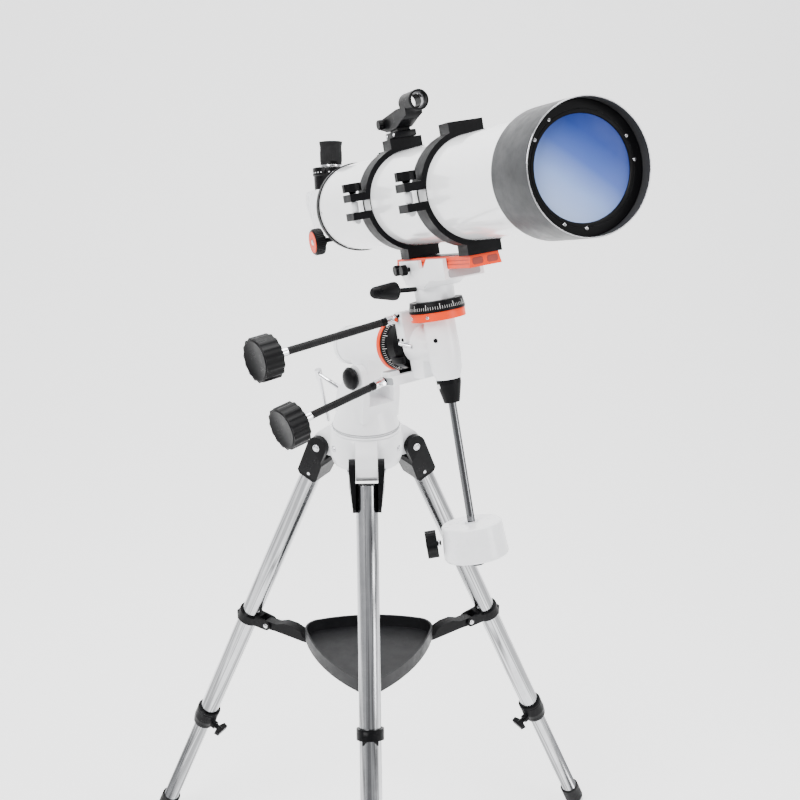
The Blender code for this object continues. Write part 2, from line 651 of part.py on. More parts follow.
def make_finder(bar, place):
    """A red-dot sight: a clamp foot, a raised body and a short window tube that looks along the main tube."""
    top = RING_FLAT + GAP
    foot = block("red_dot_finder", (place - 20, -17, top), (place + 20, 17, top + 10), bar, "black_plastic", bevel=2)
    post = block("finder_post", (place - 16, -10, top + 8), (place + 14, 10, top + 18), bar)
    body = [(place - 46, 18), (place - 46, 31), (place - 14, 35), (place + 28, 40), (place + 62, 40), (place + 62, 28)]
    body += [(place + 40, 22), (place + 16, 14), (place - 20, 12)]
    raised = plate("finder_body", [(x, top + z) for x, z in body], 13, bar, UPRIGHT)
    window = top + 45
    ring = tube("finder_window", 14.5, 12, place + 44, place + 88, bar, at(0, 0, window) @ X_AXIS, None, 24)
    sight = rod("finder_sight_bore", 12, place + 30, place + 95, bar, at(0, 0, window) @ X_AXIS, steps=24)
    side_knob = rod("finder_side_knob", 7, 0, 10, bar, at(place - 30, -12, top + 25) @ Y_DOWN, steps=14)
    back_knob = rod("finder_back_knob", 7, 0, 12, bar, at(place - 44, 0, top + 24) @ aim((-1, 0, 0)), steps=14)
    fuse(foot, post, raised, ring, side_knob, back_knob)
    cut(foot, sight)


def make_carrier(dec):
    """The dovetail bar with the two tube rings and the finder on the rear one."""
    bar = frame("dovetail_slide", dec, at(0, 0, TUBE_AXIS_HEIGHT))
    outline = [(-BAR_HALF, BAR_BOTTOM), (BAR_HALF, BAR_BOTTOM), (BAR_HALF - 3, BAR_TOP), (3 - BAR_HALF, BAR_TOP)]
    length = BAR_FRONT - BAR_BACK
    along = at((BAR_FRONT + BAR_BACK) / 2) @ turn(90, "Z") @ UPRIGHT
    plate("dovetail_bar", outline, length / 2, bar, along, "orange_anodised")
    for name, place in RING_PLACES.items():
        make_ring_half(name, bar, place, upper=False)
        make_ring_half(name, bar, place, upper=True)
        make_ring_knob(name, bar, place)
    make_finder(bar, RING_PLACES["rear"])
    return bar


def make_tube(optics):
    wall = 1.6
    tube("main_tube", TUBE_RADIUS, TUBE_RADIUS - wall, TUBE_BACK, TUBE_FRONT, optics, X_AXIS, "white_paint", 56)
    lip = TUBE_RADIUS + GAP
    profile = [(SHIELD_RADIUS, SHIELD_FRONT), (SHIELD_RADIUS, SHIELD_BACK + 2), (SHIELD_RADIUS - 2, SHIELD_BACK)]
    profile += [(lip, SHIELD_BACK), (lip, SHIELD_BACK + 6), (SHIELD_RADIUS - SHIELD_WALL, SHIELD_BACK + 6)]
    profile += [(SHIELD_RADIUS - SHIELD_WALL, SHIELD_FRONT)]
    turned("dew_shield", profile, optics, X_AXIS, "dark_gloss", 56, hollow=True)


def make_objective(optics):
    """The cell that screws over the tube's front and the convex lens that it holds."""
    outer = SHIELD_RADIUS - SHIELD_WALL - GAP
    seat = APERTURE_RADIUS + 1.2
    back = TUBE_FRONT - 8
    profile = [(outer, LENS_RIM + 2), (outer, back), (TUBE_RADIUS + GAP, back)]
    profile += [(TUBE_RADIUS + GAP, TUBE_FRONT + GAP), (APERTURE_RADIUS - 1, TUBE_FRONT + GAP)]
    profile += [(APERTURE_RADIUS - 1, LENS_RIM - 17), (seat, LENS_RIM - 17), (seat, LENS_RIM + 2)]
    turned("objective_cell", profile, optics, X_AXIS, "black_paint", 56, hollow=True)
    rim = seat - GAP
    lens = [(0, LENS_RIM + 3.5)]
    for radius in (22, 42, 54):
        lens.append((radius, LENS_RIM + 3.5 * (1 - (radius / rim) ** 2)))
    lens += [(rim, LENS_RIM), (rim, LENS_RIM - 17 + GAP), (40, LENS_RIM - 19), (0, LENS_RIM - 20)]
    turned("objective_lens", lens, optics, X_AXIS, "coated_glass", 40)


def make_rear(optics):
    """The rear cell closes the tube round the focuser's bore; the focuser carries its pinion box below."""
    inside = TUBE_RADIUS - 1.6 - GAP
    back = TUBE_BACK - 9
    profile = [(inside, TUBE_BACK + 12), (inside, TUBE_BACK - GAP), (TUBE_RADIUS + 1.2, TUBE_BACK - GAP)]
    profile += [(TUBE_RADIUS + 1.2, back), (64, back - 8), (44, back - 14), (27.4, back - 14), (27.4, back - 8)]
    profile += [(60, back), (inside - 2.5, TUBE_BACK + 12)]
    turned("rear_cell", profile, optics, X_AXIS, "black_paint", 48, hollow=True)
    start = back - 14 - GAP
    end = -347
    body = [(40, start), (40, start - 14), (36, start - 20), (36, end), (27.4, end), (27.4, start)]
    focuser = turned("focuser_body", body, optics, X_AXIS, "black_paint", 36, hollow=True)
    box = block("pinion_box", (FOCUS_SHAFT_X - 14, -18, -60), (FOCUS_SHAFT_X + 14, 18, -30), optics, bevel=3)
    bore = rod("focuser_bore", 27.4, end - 20, start + 20, optics, X_AXIS, steps=36)
    shaft_place = at(FOCUS_SHAFT_X, 0, FOCUS_SHAFT_Z) @ Y_DOWN
    shaft = rod("pinion_bore", 4.3, -60, 60, optics, shaft_place, steps=16)
    fuse(focuser, box)
    cut(focuser, bore, shaft)
    axis = frame("focus_axis", optics, shaft_place)
    wheel = [(0, 67), (20, 67), (22, 65), (22, 51), (19, 50), (8, 50), (8, 44), (4, 44)]
    knob = wheel + [(radius, -height) for radius, height in reversed(wheel)]
    turned("focus_knob", knob, axis, Matrix(), "black_plastic", 28)


def make_diagonal(optics):
    """The drawtube, the mirror diagonal that hangs on it and the eyepiece in its top socket."""
    draw = frame("drawtube_slide", optics, Matrix())
    tube("drawtube", 27, 24.5, -353, -292, draw, X_AXIS, "chrome", 32)
    turned_axis = frame("diagonal_axis", draw, turn(DIAGONAL_TURN, "X"))
    front, back = -353.3, EYEPIECE_X - 57
    side = [(front, 34), (front - 6, 37), (back + 6, 37), (back, 31), (back, 14), (EYEPIECE_X - 6, -36), (front, -36)]
    diagonal = plate("diagonal", side[::-1], 29.5, turned_axis, UPRIGHT, "white_paint")
    barrel = [(0, 75), (32, 75), (32, 62), (30, 60), (29, 36), (0, 36)]
    upright = at(EYEPIECE_X)
    socket = turned("diagonal_barrel", barrel, turned_axis, upright, steps=28)
    well = rod("diagonal_well", 16.5, 46, 90, turned_axis, upright, steps=24)
    fuse(diagonal, socket)
    cut(diagonal, well)
    lift = frame("eyepiece_slide", turned_axis, upright)
    body = [(0, 114), (11, 114), (16, 120), (20.5, 120), (19, 112), (18.5, 75.3), (16, 75.3), (16, 48), (0, 48)]
    turned("eyepiece", body, lift, Matrix(), "rubber", 28)


def make_optics(dec):
    bar = make_carrier(dec)
    optics = frame("tube_axis", bar, Matrix())
    make_tube(optics)
    make_objective(optics)
    make_rear(optics)
    make_diagonal(optics)


# ---------------------------------------------------------------- whole object

HINGE_HEIGHT = LEG_LENGTH * math.cos(math.radians(LEG_TILT)) + FOOT_RADIUS
ROOT = frame("tripod_axis", None, at(AXIS_X, AXIS_Y, HINGE_HEIGHT))
make_tripod(ROOT)
make_optics(make_mount(ROOT))
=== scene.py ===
import json
import math

import bmesh
import bpy
from mathutils import Matrix, Vector


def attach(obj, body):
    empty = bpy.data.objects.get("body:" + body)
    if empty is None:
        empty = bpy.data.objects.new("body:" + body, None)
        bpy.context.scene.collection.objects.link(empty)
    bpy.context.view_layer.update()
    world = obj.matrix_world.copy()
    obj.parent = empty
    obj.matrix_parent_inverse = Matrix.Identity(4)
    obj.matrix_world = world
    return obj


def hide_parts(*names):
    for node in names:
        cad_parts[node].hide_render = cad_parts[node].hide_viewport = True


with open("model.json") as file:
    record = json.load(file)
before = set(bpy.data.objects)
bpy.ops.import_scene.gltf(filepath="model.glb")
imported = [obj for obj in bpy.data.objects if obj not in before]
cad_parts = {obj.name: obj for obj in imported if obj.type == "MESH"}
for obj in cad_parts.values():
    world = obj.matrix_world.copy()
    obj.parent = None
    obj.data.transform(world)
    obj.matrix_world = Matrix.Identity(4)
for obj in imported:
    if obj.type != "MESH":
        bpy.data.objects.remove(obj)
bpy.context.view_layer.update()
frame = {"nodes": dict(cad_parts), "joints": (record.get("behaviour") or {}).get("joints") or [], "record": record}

# Lengths below are in millimetres and angles in degrees, unless a name or comment says otherwise.
MM = 0.001
JOINTS = {joint["name"]: joint for joint in frame["joints"]}
BODY_OF = {n: b for b, names in frame["record"]["behaviour"]["bodies"].items() for n in names}
SLOT_OF = {part["node"]: part["material_slot"] for part in frame["record"]["subparts"]}
LEGS = ("front", "right", "left")


def at(x=0.0, y=0.0, z=0.0):
    return Matrix.Translation((x * MM, y * MM, z * MM))


def turn(angle, axis):
    return Matrix.Rotation(math.radians(angle), 4, axis)


def aim(direction):
    """Turns local Z to a direction."""
    return Vector(direction).to_track_quat("Z", "Y").to_matrix().to_4x4()


def axes(origin, x, z):
    """A place whose X runs along the first direction and whose Z is as near the second as it can be."""
    x = Vector(x).normalized()
    y = Vector(z).cross(x).normalized()
    return Matrix.Translation(Vector(origin)) @ Matrix((x, y, x.cross(y))).transposed().to_4x4()


X_AXIS = turn(90, "Y")
Y_DOWN = turn(90, "X")

# The mount turns about MOUNT's X (right ascension) and Z (declination); TUBE's X is the tube's axis.
DEC_AXIS = JOINTS["dec_turn"]["axis"]
MOUNT = axes(JOINTS["ra_turn"]["pos_m"], JOINTS["ra_turn"]["axis"], DEC_AXIS)
TUBE = axes(JOINTS["tube_turn"]["pos_m"], JOINTS["tube_turn"]["axis"], DEC_AXIS)
DEC = axes(JOINTS["dec_turn"]["pos_m"], JOINTS["tube_turn"]["axis"], DEC_AXIS)
POLAR_FLAT = (JOINTS["ra_turn"]["axis"][0], JOINTS["ra_turn"]["axis"][1], 0.0)
AZIMUTH = axes(JOINTS["azimuth_turn"]["pos_m"], POLAR_FLAT, (0, 0, 1))


def leg_place(leg):
    """The leg's hinge, with Z up along the leg's tube and Y along the hinge's pin."""
    up = -Vector(JOINTS["leg_slide_" + leg]["axis"])
    across = Vector(JOINTS["fold_" + leg]["axis"])
    return axes(JOINTS["fold_" + leg]["pos_m"], across.cross(up), up)


# ---------------------------------------------------------------- materials


class Nodes:
    """A material's node tree, with short calls for the nodes that the finishes share."""

    def __init__(self, name):
        self.material = bpy.data.materials.new(name)
        self.material.use_nodes = True
        self.tree = self.material.node_tree
        self.shader = self.tree.nodes["Principled BSDF"]
        self.place = self.new("ShaderNodeTexCoord").outputs["Object"]

    def new(self, kind, **settings):
        node = self.tree.nodes.new(kind)
        for name, value in settings.items():
            setattr(node, name, value)
        return node

    def link(self, output, socket):
        self.tree.links.new(output, socket)

    def noise(self, scale, detail=3.0, roughness=0.5, place=None):
        node = self.new("ShaderNodeTexNoise")
        node.inputs["Scale"].default_value = scale
        node.inputs["Detail"].default_value = detail
        node.inputs["Roughness"].default_value = roughness
        self.link(place or self.place, node.inputs["Vector"])
        return node.outputs["Fac"]

    def remap(self, value, low, high, to_low, to_high):
        node = self.new("ShaderNodeMapRange")
        sockets = ("From Min", "From Max", "To Min", "To Max")
        for socket, number in zip(sockets, (low, high, to_low, to_high)):
            node.inputs[socket].default_value = number
        self.link(value, node.inputs["Value"])
        return node.outputs["Result"]

    def multiply(self, first, second):
        node = self.new("ShaderNodeMath", operation="MULTIPLY")
        self.link(first, node.inputs[0])
        self.link(second, node.inputs[1])
        return node.outputs["Value"]

    def ramp(self, value, stops):
        """Colours by value; stops are (position, colour)."""
        node = self.new("ShaderNodeValToRGB")
        elements = node.color_ramp.elements
        while len(elements) < len(stops):
            elements.new(0.5)
        for element, (position, colour) in zip(elements, stops):
            element.position = position
            element.color = (*colour, 1.0)
        self.link(value, node.inputs["Fac"])
        return node.outputs["Color"]

    def mix(self, factor, first, second):
        node = self.new("ShaderNodeMix", data_type="RGBA")
        self.link(factor, node.inputs["Factor"])
        self.link(first, node.inputs["A"])
        if isinstance(second, tuple):
            node.inputs["B"].default_value = (*second, 1.0)
        else:
            self.link(second, node.inputs["B"])
        return node.outputs["Result"]

    def along(self, direction):
        """How far a point is along a direction, in metres."""
        node = self.new("ShaderNodeVectorMath", operation="DOT_PRODUCT")
        self.link(self.place, node.inputs[0])
        node.inputs[1].default_value = direction
        return node.outputs["Value"]

    def stretched(self, direction, keep):
        """Coordinates squeezed along a direction, so that a noise on them draws long streaks."""
        scaled = self.new("ShaderNodeVectorMath", operation="SCALE")
        scaled.inputs[0].default_value = direction
        share = self.remap(self.along(direction), 0, 1, 0, 1 - keep)
        share.node.clamp = False
        self.link(share, scaled.inputs["Scale"])
        squeezed = self.new("ShaderNodeVectorMath", operation="SUBTRACT")
        self.link(self.place, squeezed.inputs[0])
        self.link(scaled.outputs[0], squeezed.inputs[1])
        return squeezed.outputs[0]

    def rounded(self, radius=0.5):
        """The normal with edges rounded by a radius."""
        node = self.new("ShaderNodeBevel", samples=4)
        node.inputs["Radius"].default_value = radius * MM
        return node.outputs["Normal"]

    def bump(self, height, strength, distance, normal):
        node = self.new("ShaderNodeBump")
        node.inputs["Strength"].default_value = strength
        node.inputs["Distance"].default_value = distance * MM
        self.link(height, node.inputs["Height"])
        self.link(normal, node.inputs["Normal"])
        return node.outputs["Normal"]

    def edges(self, normal):
        """1 on sharp edges and 0 on open faces."""
        dot = self.new("ShaderNodeVectorMath", operation="DOT_PRODUCT")
        self.link(normal, dot.inputs[0])
        self.link(self.new("ShaderNodeNewGeometry").outputs["Normal"], dot.inputs[1])
        return self.remap(dot.outputs["Value"], 0.995, 0.85, 0.0, 1.0)


# How strongly the broad dark bands of painted reflection on a drawn steel tube show, by noise value.
PAINTED_REFLECTION_BAND_STOPS = [
    (0.42, (0, 0, 0)),
    (0.5, (0.85, 0.85, 0.85)),
    (0.56, (0.1, 0.1, 0.1)),
    (0.64, (0.7, 0.7, 0.7)),
]


def shade(colour, factor):
    return tuple(min(1.0, channel * factor) for channel in colour)


def finish(
    name,
    colour,
    roughness,
    metallic=0.0,
    coat=0.0,
    variation=0.05,
    grain=(1400.0, 0.05),
    worn=None,
    worn_share=0.5,
    streaks=None,
    edge_radius=0.5,
    specular=0.5,
):
    """A painted, moulded or machined surface: clouded colour and gloss, fine grain, rounded edges.

    It can also have worn edges, and drawing lines along a direction with broad dark bands of painted reflection.
    """
    nodes = Nodes(name)
    shader = nodes.shader
    shader.inputs["Metallic"].default_value = metallic
    shader.inputs["Coat Weight"].default_value = coat
    shader.inputs["Coat Roughness"].default_value = 0.05
    shader.inputs["Specular IOR Level"].default_value = specular
    cloud = nodes.noise(22.0, 5.0, 0.6)
    base = nodes.ramp(cloud, [(0.3, shade(colour, 1 - variation)), (0.7, shade(colour, 1 + variation))])
    grain_place = nodes.stretched(streaks, 0.02) if streaks else None
    fine = nodes.noise(grain[0], 2.0, 0.6, grain_place)
    rounded = nodes.rounded(edge_radius)
    if streaks:
        lines = nodes.noise(420.0, 4.0, 0.7, grain_place)
        base = nodes.mix(nodes.remap(lines, 0.35, 0.75, 0.0, 0.5), base, shade(colour, 0.55))
        # Broad dark bands along the same direction: painted reflection in the polished metal.
        bands = nodes.noise(95.0, 1.0, 0.4, grain_place)
        base = nodes.mix(nodes.ramp(bands, PAINTED_REFLECTION_BAND_STOPS), base, shade(colour, 0.16))
    if worn:
        patches = nodes.remap(nodes.noise(160.0, 4.0, 0.7), 0.35, 0.65, 0.0, worn_share)
        base = nodes.mix(nodes.multiply(nodes.edges(rounded), patches), base, worn)
    nodes.link(base, shader.inputs["Base Color"])
    smears = nodes.noise(60.0, 6.0, 0.65)
    gloss = nodes.remap(smears, 0.3, 0.7, roughness * 0.8, min(1.0, roughness * 1.25))
    nodes.link(gloss, shader.inputs["Roughness"])
    nodes.link(nodes.bump(fine, grain[1], 0.2, rounded), shader.inputs["Normal"])
    return nodes.material


# The coating's colour across the lens, from its pale side to its dark side: a painted reflection.
PAINTED_REFLECTION_COATING_STOPS = [
    (0.0, (0.42, 0.54, 0.82)),
    (0.3, (0.25, 0.36, 0.7)),
    (0.55, (0.075, 0.13, 0.42)),
    (0.8, (0.022, 0.05, 0.25)),
    (1.0, (0.014, 0.034, 0.2)),
]


def coated_glass(name, up_right):
    """A multi-coated objective with a painted reflection: pale blue on one side, falling to deep violet-blue on
    the other.
    """
    nodes = Nodes(name)
    centre = Vector(up_right).dot(TUBE.translation)
    # Painted reflection: the blue goes from pale to dark along a fixed direction across the lens.
    height = nodes.remap(nodes.along(up_right), centre - 0.06, centre + 0.06, 0.0, 1.0)
    painted_reflection = nodes.ramp(height, PAINTED_REFLECTION_COATING_STOPS)
    ripple = nodes.remap(nodes.noise(18.0, 2.0), 0.4, 0.6, 0.0, 0.12)
    nodes.link(nodes.mix(ripple, painted_reflection, (0.1, 0.14, 0.4)), nodes.shader.inputs["Base Color"])
    dust = nodes.remap(nodes.noise(900.0, 2.0), 0.62, 0.8, 0.2, 0.3)
    nodes.link(dust, nodes.shader.inputs["Roughness"])
    nodes.shader.inputs["Specular IOR Level"].default_value = 0.12
    nodes.shader.inputs["Specular Tint"].default_value = (0.55, 0.65, 1.0, 1.0)
    return nodes.material


WHITE = (0.88, 0.885, 0.9)
TUBE_WHITE = (0.9, 0.905, 0.915)
BLACK = (0.0035, 0.0035, 0.004)
ORANGE = (0.78, 0.045, 0.003)
STEEL = (0.58, 0.585, 0.6)

LOOKS = {
    "white_enamel": finish(
        "cast_white_paint",
        WHITE,
        0.34,
        coat=0.35,
        variation=0.03,
        grain=(700.0, 0.16),
    ),
    "tube_enamel": finish(
        "tube_white_paint",
        TUBE_WHITE,
        0.2,
        coat=0.8,
        variation=0.02,
        grain=(260.0, 0.03),
    ),
    "weight_enamel": finish(
        "weight_white_paint",
        WHITE,
        0.3,
        coat=0.4,
        variation=0.04,
        grain=(420.0, 0.22),
    ),
    "black_casting": finish(
        "black_anodised",
        BLACK,
        0.38,
        variation=0.3,
        worn=(0.05, 0.05, 0.053),
        specular=0.08,
    ),
    "black_plastic": finish(
        "black_moulding",
        BLACK,
        0.3,
        variation=0.3,
        grain=(1100.0, 0.12),
        specular=0.09,
    ),
    "shield_gloss": finish(
        "dark_lacquer",
        (0.02, 0.021, 0.023),
        0.36,
        variation=0.2,
        grain=(240.0, 0.03),
        specular=0.2,
    ),
    "orange_anodised": finish(
        "orange_anodised_look",
        ORANGE,
        0.34,
        0.0,
        variation=0.1,
        worn=(0.9, 0.16, 0.03),
        edge_radius=0.8,
        specular=0.2,
    ),
    "chrome": finish("chrome_plate", (0.78, 0.78, 0.8), 0.09, 1.0, variation=0.04, grain=(500.0, 0.02)),
    "tray_plastic": finish(
        "tray_moulding",
        (0.008, 0.008, 0.009),
        0.42,
        variation=0.2,
        grain=(900.0, 0.3),
        specular=0.22,
    ),
    "coated_glass": coated_glass("objective_coating_painted_reflection", tuple(TUBE.to_3x3() @ Vector((0, 0.65, 0.76)))),
    "rubber": finish(
        "eyecup_rubber",
        (0.006, 0.006, 0.0065),
        0.62,
        variation=0.25,
        grain=(1200.0, 0.4),
        specular=0.2,
    ),
    "white_plastic": finish("diagonal_white", WHITE, 0.28, coat=0.4, variation=0.03, grain=(500.0, 0.06)),
}
# Flat black paint, also used for painted shade in screw slots and holes.
FLAT_BLACK_AND_SHADE = finish("flat_black_paint_and_shade", (0.012, 0.012, 0.013), 0.75, variation=0.3, grain=(900.0, 0.3))
SCREW_STEEL = finish("screw_steel", (0.6, 0.6, 0.62), 0.2, 1.0, variation=0.1, grain=(900.0, 0.08))
MARKING = finish("marking_paint", (0.82, 0.82, 0.8), 0.5, variation=0.06)
# Dark red for painted shade in the bar's recessed pockets and grooves.
POCKET_SHADE_RED = finish("pocket_shade_red", (0.22, 0.02, 0.01), 0.5, variation=0.2)
GREY = finish("grey_casting", (0.3, 0.31, 0.32), 0.45, variation=0.1, grain=(600.0, 0.3))
# Dark chrome for the weight bar; its broad dark bands along the bar are painted reflection.
DARK_CHROME = finish(
    "dark_chrome",
    (0.34, 0.345, 0.36),
    0.12,
    1.0,
    variation=0.06,
    grain=(900.0, 0.05),
    streaks=tuple(Vector(DEC_AXIS)),
)
LENS_RING = finish("sight_lens_ring", (0.3, 0.3, 0.31), 0.2, 1.0, variation=0.2, grain=(400.0, 0.02))


def leg_steel(leg):
    """Polished steel tube with drawing lines, and broad dark bands of painted reflection down its length."""
    along = tuple(-Vector(JOINTS["leg_slide_" + leg]["axis"]))
    return finish("steel_" + leg, STEEL, 0.2, 1.0, variation=0.08, grain=(900.0, 0.12), streaks=along)


STEELS = {leg: leg_steel(leg) for leg in LEGS}


# ---------------------------------------------------------------- shapes


def lathe(mesh, profile, place, steps=48, closed=False):
    """Turns a profile of (radius, height) about the place's Z axis."""
    rings = []
    for radius, height in profile:
        if radius < 1e-6:
            rings.append([mesh.verts.new(place @ Vector((0, 0, height * MM)))])
            continue
        ring = []
        for index in range(steps):
            angle = 2 * math.pi * index / steps
            point = Vector((radius * math.cos(angle), radius * math.sin(angle), height)) * MM
            ring.append(mesh.verts.new(place @ point))
        rings.append(ring)
    pairs = list(zip(rings, rings[1:]))
    if closed:
        pairs.append((rings[-1], rings[0]))
    for low, high in pairs:
        for index in range(steps):
            after = (index + 1) % steps
            if len(low) == 1 and len(high) == 1:
                continue
            if len(low) == 1:
                mesh.faces.new((low[0], high[after], high[index]))
            elif len(high) == 1:
                mesh.faces.new((low[index], low[after], high[0]))
            else:
                mesh.faces.new((low[index], low[after], high[after], high[index]))


def prism(mesh, outline, low, high, place):
    """An outline in X and Y, drawn out along Z."""
    bottom = [mesh.verts.new(place @ (Vector((x, y, low)) * MM)) for x, y in outline]
    top = [mesh.verts.new(place @ (Vector((x, y, high)) * MM)) for x, y in outline]
    mesh.faces.new(bottom[::-1])
    mesh.faces.new(top)
    count = len(outline)
    for index in range(count):
        after = (index + 1) % count
        mesh.faces.new((bottom[index], bottom[after], top[after], top[index]))


def box(mesh, low, high, place, chamfer=0.8):
    """A block with its four long corners cut."""
    (x0, y0, z0), (x1, y1, z1) = low, high
    c = chamfer
    outline = [(x0 + c, y0), (x1 - c, y0), (x1, y0 + c), (x1, y1 - c)]
    outline += [(x1 - c, y1), (x0 + c, y1), (x0, y1 - c), (x0, y0 + c)]
    prism(mesh, outline, z0, z1, place)


def lobed(radius, depth, count, per_lobe=6):
    points = []
    for index in range(count * per_lobe):
        angle = 2 * math.pi * index / (count * per_lobe)
        reach = radius - depth * (0.5 - 0.5 * math.cos(count * angle))
        points.append((reach * math.cos(angle), reach * math.sin(angle)))
    return points


def piece(name, mesh, body, look, smooth=32.0, bevel=0.0):
    """Makes the object from its mesh, shades it smoothly between its edges and lets it ride."""
    bmesh.ops.recalc_face_normals(mesh, faces=mesh.faces)
    data = bpy.data.meshes.new(name)
    mesh.to_mesh(data)
    mesh.free()
    data.shade_smooth()
    data.set_sharp_from_angle(angle=math.radians(smooth))
    made = bpy.data.objects.new(name, data)
    bpy.context.scene.collection.objects.link(made)
    data.materials.append(look)
    if bevel:
        modifier = made.modifiers.new("rounded", "BEVEL")
        modifier.width = bevel * MM
        modifier.segments = 2
        modifier.limit_method = "ANGLE"
        modifier.angle_limit = math.radians(32)
        modifier.harden_normals = True
    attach(made, body)
    return made


def turned(name, profile, place, body, look, steps=96, closed=True, stands_for=None):
    mesh = bmesh.new()
    lathe(mesh, profile, place, steps, closed)
    made = piece(name, mesh, body, look)
    if stands_for:
        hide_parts(stands_for)
    return made


# ---------------------------------------------------------------- the CAD nodes' own finish


def carry_over(node):
    """A welded copy of a CAD node with smooth round faces, in the node's place."""
    mesh = bmesh.new()
    mesh.from_mesh(frame["nodes"][node].data)
    bmesh.ops.remove_doubles(mesh, verts=mesh.verts, dist=2e-6)
    bmesh.ops.dissolve_limit(mesh, angle_limit=math.radians(0.2), verts=mesh.verts, edges=mesh.edges)
    slot = SLOT_OF[node]
    look = STEELS[node.split("_")[-1]] if slot == "leg_steel" else SPECIAL.get(node, LOOKS[slot])
    made = piece(node + "_surface", mesh, BODY_OF[node], look, smooth=28.0)
    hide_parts(node)


SPECIAL = {"weight_bar": DARK_CHROME}
REBUILT = ("main_tube", "dew_shield", "objective_cell", "objective_lens")
for node_name in sorted(frame["nodes"]):
    if node_name not in REBUILT:
        carry_over(node_name)

# ---------------------------------------------------------------- optical tube

TUBE_RADIUS = 70.0
TUBE_WALL = 1.6
TUBE_BACK = -262.0
TUBE_FRONT = 425.0
SHIELD_RADIUS = 78.9
SHIELD_WALL = 1.6
SHIELD_BACK = 410.0
SHIELD_FRONT = 502.0
CELL_FACE = 486.5
LENS_RIM = 484.5
LENS_RADIUS = 60.9
APERTURE_RADIUS = 60.0
GAP = 0.3
FINE = 160
SCREW_TURNS = (-17.5, 102.5, 222.5)
SCREW_SPREAD = 12.2
SCREW_CIRCLE = 67.4
LENS_BULGE = 3.5
LENS_STEPS = 14
ALONG_TUBE = TUBE @ X_AXIS


def build_tube():
    inner = TUBE_RADIUS - TUBE_WALL
    wall = [(TUBE_RADIUS, TUBE_BACK), (TUBE_RADIUS, TUBE_FRONT), (inner, TUBE_FRONT), (inner, TUBE_BACK)]
    look = LOOKS["tube_enamel"]
    turned("main_tube_skin", wall, ALONG_TUBE, "optics", look, FINE, True, "main_tube")
    lip = TUBE_RADIUS + GAP
    bore = SHIELD_RADIUS - SHIELD_WALL
    shell = [(SHIELD_RADIUS - 0.5, SHIELD_FRONT), (SHIELD_RADIUS, SHIELD_FRONT - 0.5)]
    shell += [(SHIELD_RADIUS, SHIELD_BACK + 4), (SHIELD_RADIUS - 0.4, SHIELD_BACK + 1.8)]
    shell += [(SHIELD_RADIUS - 1.4, SHIELD_BACK + 0.5), (SHIELD_RADIUS - 2.6, SHIELD_BACK)]
    shell += [(lip, SHIELD_BACK), (lip, SHIELD_BACK + 6), (bore, SHIELD_BACK + 6), (bore, SHIELD_FRONT)]
    look = LOOKS["shield_gloss"]
    turned("dew_shield_skin", shell, ALONG_TUBE, "optics", look, FINE, True, "dew_shield")
    lining = [(bore - 0.05, CELL_FACE + 1), (bore - 0.05, SHIELD_FRONT - 0.6)]
    lining += [(bore - 0.25, SHIELD_FRONT - 0.6), (bore - 0.25, CELL_FACE + 1)]
    turned("shield_lining", lining, ALONG_TUBE, "optics", FLAT_BLACK_AND_SHADE, FINE)
    rim = [(bore + 0.1, SHIELD_FRONT - 0.3), (bore + 0.1, SHIELD_FRONT + 0.25)]
    rim += [(SHIELD_RADIUS - 0.5, SHIELD_FRONT + 0.25), (SHIELD_RADIUS - 0.2, SHIELD_FRONT)]
    rim += [(SHIELD_RADIUS - 0.2, SHIELD_FRONT - 0.3)]
    turned("shield_rim", rim, ALONG_TUBE, "optics", SCREW_STEEL, FINE)


def build_objective():
    outer = SHIELD_RADIUS - SHIELD_WALL - GAP
    seat = LENS_RADIUS + GAP
    back = TUBE_FRONT - 8
    cell = [(outer, CELL_FACE - 0.6), (outer, back)]
    cell += [(TUBE_RADIUS + GAP, back), (TUBE_RADIUS + GAP, TUBE_FRONT + GAP)]
    cell += [(APERTURE_RADIUS - 1, TUBE_FRONT + GAP), (APERTURE_RADIUS - 1, LENS_RIM - 17)]
    cell += [(seat, LENS_RIM - 17), (seat, CELL_FACE - 1), (seat + 1, CELL_FACE)]
    cell += [(65.4, CELL_FACE), (65.6, CELL_FACE - 0.5)]
    cell += [(66.2, CELL_FACE - 0.5), (66.4, CELL_FACE), (outer - 0.6, CELL_FACE)]
    place = ALONG_TUBE
    look = LOOKS["black_casting"]
    turned("objective_cell_skin", cell, place, "optics", look, FINE, True, "objective_cell")
    lens = [(0, LENS_RIM + LENS_BULGE)]
    for step in range(1, LENS_STEPS + 1):
        share = step / LENS_STEPS
        lens.append((LENS_RADIUS * share, LENS_RIM + LENS_BULGE * (1 - share**2)))
    lens += [(LENS_RADIUS, LENS_RIM - 16.7), (40, LENS_RIM - 19), (0, LENS_RIM - 20)]
    look = LOOKS["coated_glass"]
    turned("objective_lens_skin", lens, place, "optics", look, FINE, False, "objective_lens")
    heads = bmesh.new()
    # Black strips across the screw heads: painted shade in their slots.
    slots = bmesh.new()
    for middle in SCREW_TURNS:
        for angle in (middle - SCREW_SPREAD, middle + SCREW_SPREAD):
            place = ALONG_TUBE @ turn(angle, "Z") @ at(SCREW_CIRCLE, 0, CELL_FACE)
            lathe(heads, [(0, 0.9), (1.6, 0.8), (2.2, 0.3), (2.2, 0), (0, 0)], place, 16)
            box(slots, (-1.5, -0.3, 0.7), (1.5, 0.3, 1.0), place @ turn(37, "Z"), 0.1)
    piece("cell_screws", heads, "optics", SCREW_STEEL)
    piece("cell_screw_slots", slots, "optics", FLAT_BLACK_AND_SHADE)


